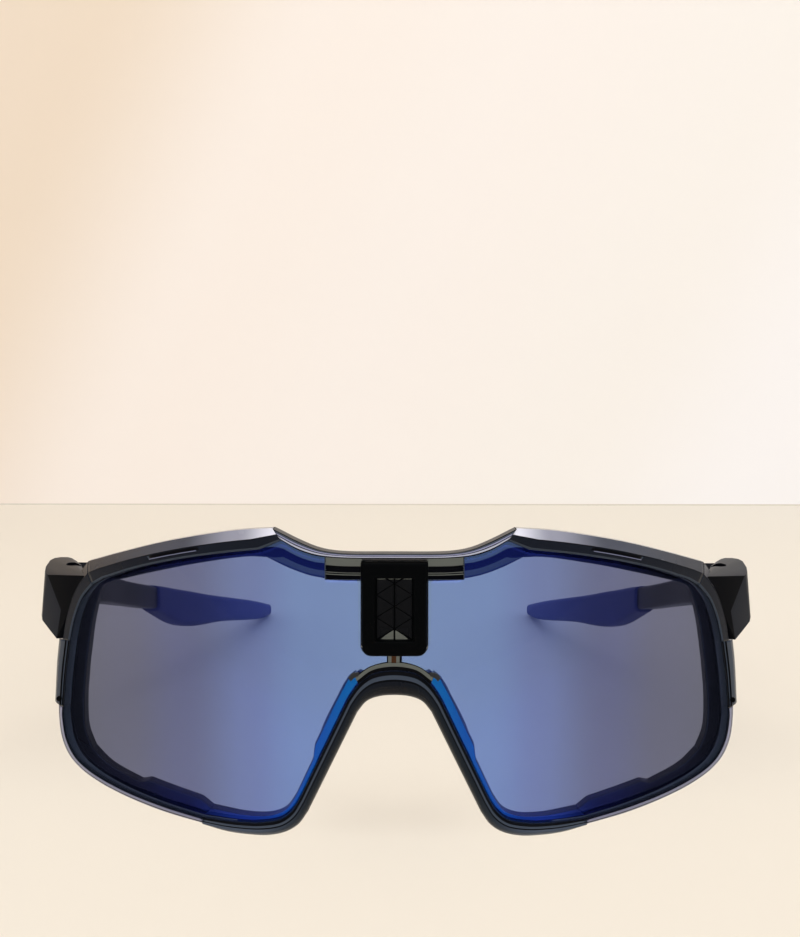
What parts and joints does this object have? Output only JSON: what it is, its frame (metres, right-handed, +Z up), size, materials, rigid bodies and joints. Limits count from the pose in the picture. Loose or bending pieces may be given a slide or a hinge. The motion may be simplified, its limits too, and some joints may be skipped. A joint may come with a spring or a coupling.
{
  "type": "wraparound sport sunglasses",
  "caption": "Full-rim wraparound sport sunglasses: a curved mirrored shield lens, stepped brow, black vented bridge block, soft nose pads and folding temples with rubber grips.",
  "frame": {"origin": "the middle of the bottom of the box, on the surface that the open glasses stand on", "axes": "+Z up, +X towards the right temple as seen from in front, +Y from the lens towards the ears"},
  "size_m": [0.1458, 0.15, 0.0585],
  "materials": {
    "frame_crystal": "polished translucent smoke-blue nylon",
    "flange_crystal": "translucent smoke-blue nylon behind the lens",
    "bridge_black": "fine satin black nylon",
    "vent_black": "moulded black nylon lattice",
    "lens_mirror": "polycarbonate with a blue mirror coat",
    "pad_rubber": "soft matt elastomer",
    "hinge_steel": "turned stainless steel",
    "peg_black": "moulded black nylon",
    "arm_navy": "polished dark smoke nylon",
    "grip_rubber": "soft matt navy elastomer"
  },
  "bodies": {
    "front": {"brow_bar": "frame_crystal", "nose_rim": "frame_crystal", "side_strut_left": "frame_crystal", "side_strut_right": "frame_crystal", "lower_rim_left": "frame_crystal", "lower_rim_right": "frame_crystal", "brow_flange_left": "flange_crystal", "brow_flange_right": "flange_crystal", "side_flange_left": "flange_crystal", "side_flange_right": "flange_crystal", "lower_flange_left": "flange_crystal", "lower_flange_right": "flange_crystal", "nose_flange_left": "flange_crystal", "nose_flange_right": "flange_crystal", "bridge_neck": "flange_crystal", "bridge_block": "bridge_black", "bridge_post": "bridge_black", "vent_insert": "vent_black", "lens": "lens_mirror", "nose_pad_left": "pad_rubber", "nose_pad_right": "pad_rubber", "hinge_lug_left": "frame_crystal", "hinge_lug_right": "frame_crystal", "hinge_screw_left": "hinge_steel", "hinge_screw_right": "hinge_steel", "rim_peg_left": "peg_black", "rim_peg_right": "peg_black"},
    "temple_left": {"temple_arm_left": "arm_navy", "temple_grip_left": "grip_rubber"},
    "temple_right": {"temple_arm_right": "arm_navy", "temple_grip_right": "grip_rubber"}
  },
  "joints": [
    {"name": "temple_right_fold", "type": "hinge", "parent": "front", "child": "temple_right", "pos_m": [0.0665, -0.0381, 0.03466], "axis": [0, 0.1623, 0.9867], "range_deg": [0, 79]},
    {"name": "temple_left_fold", "type": "hinge", "parent": "front", "child": "temple_left", "pos_m": [-0.0665, -0.0381, 0.03466], "axis": [0, -0.1623, -0.9867], "range_deg": [0, 73]}
  ]
}
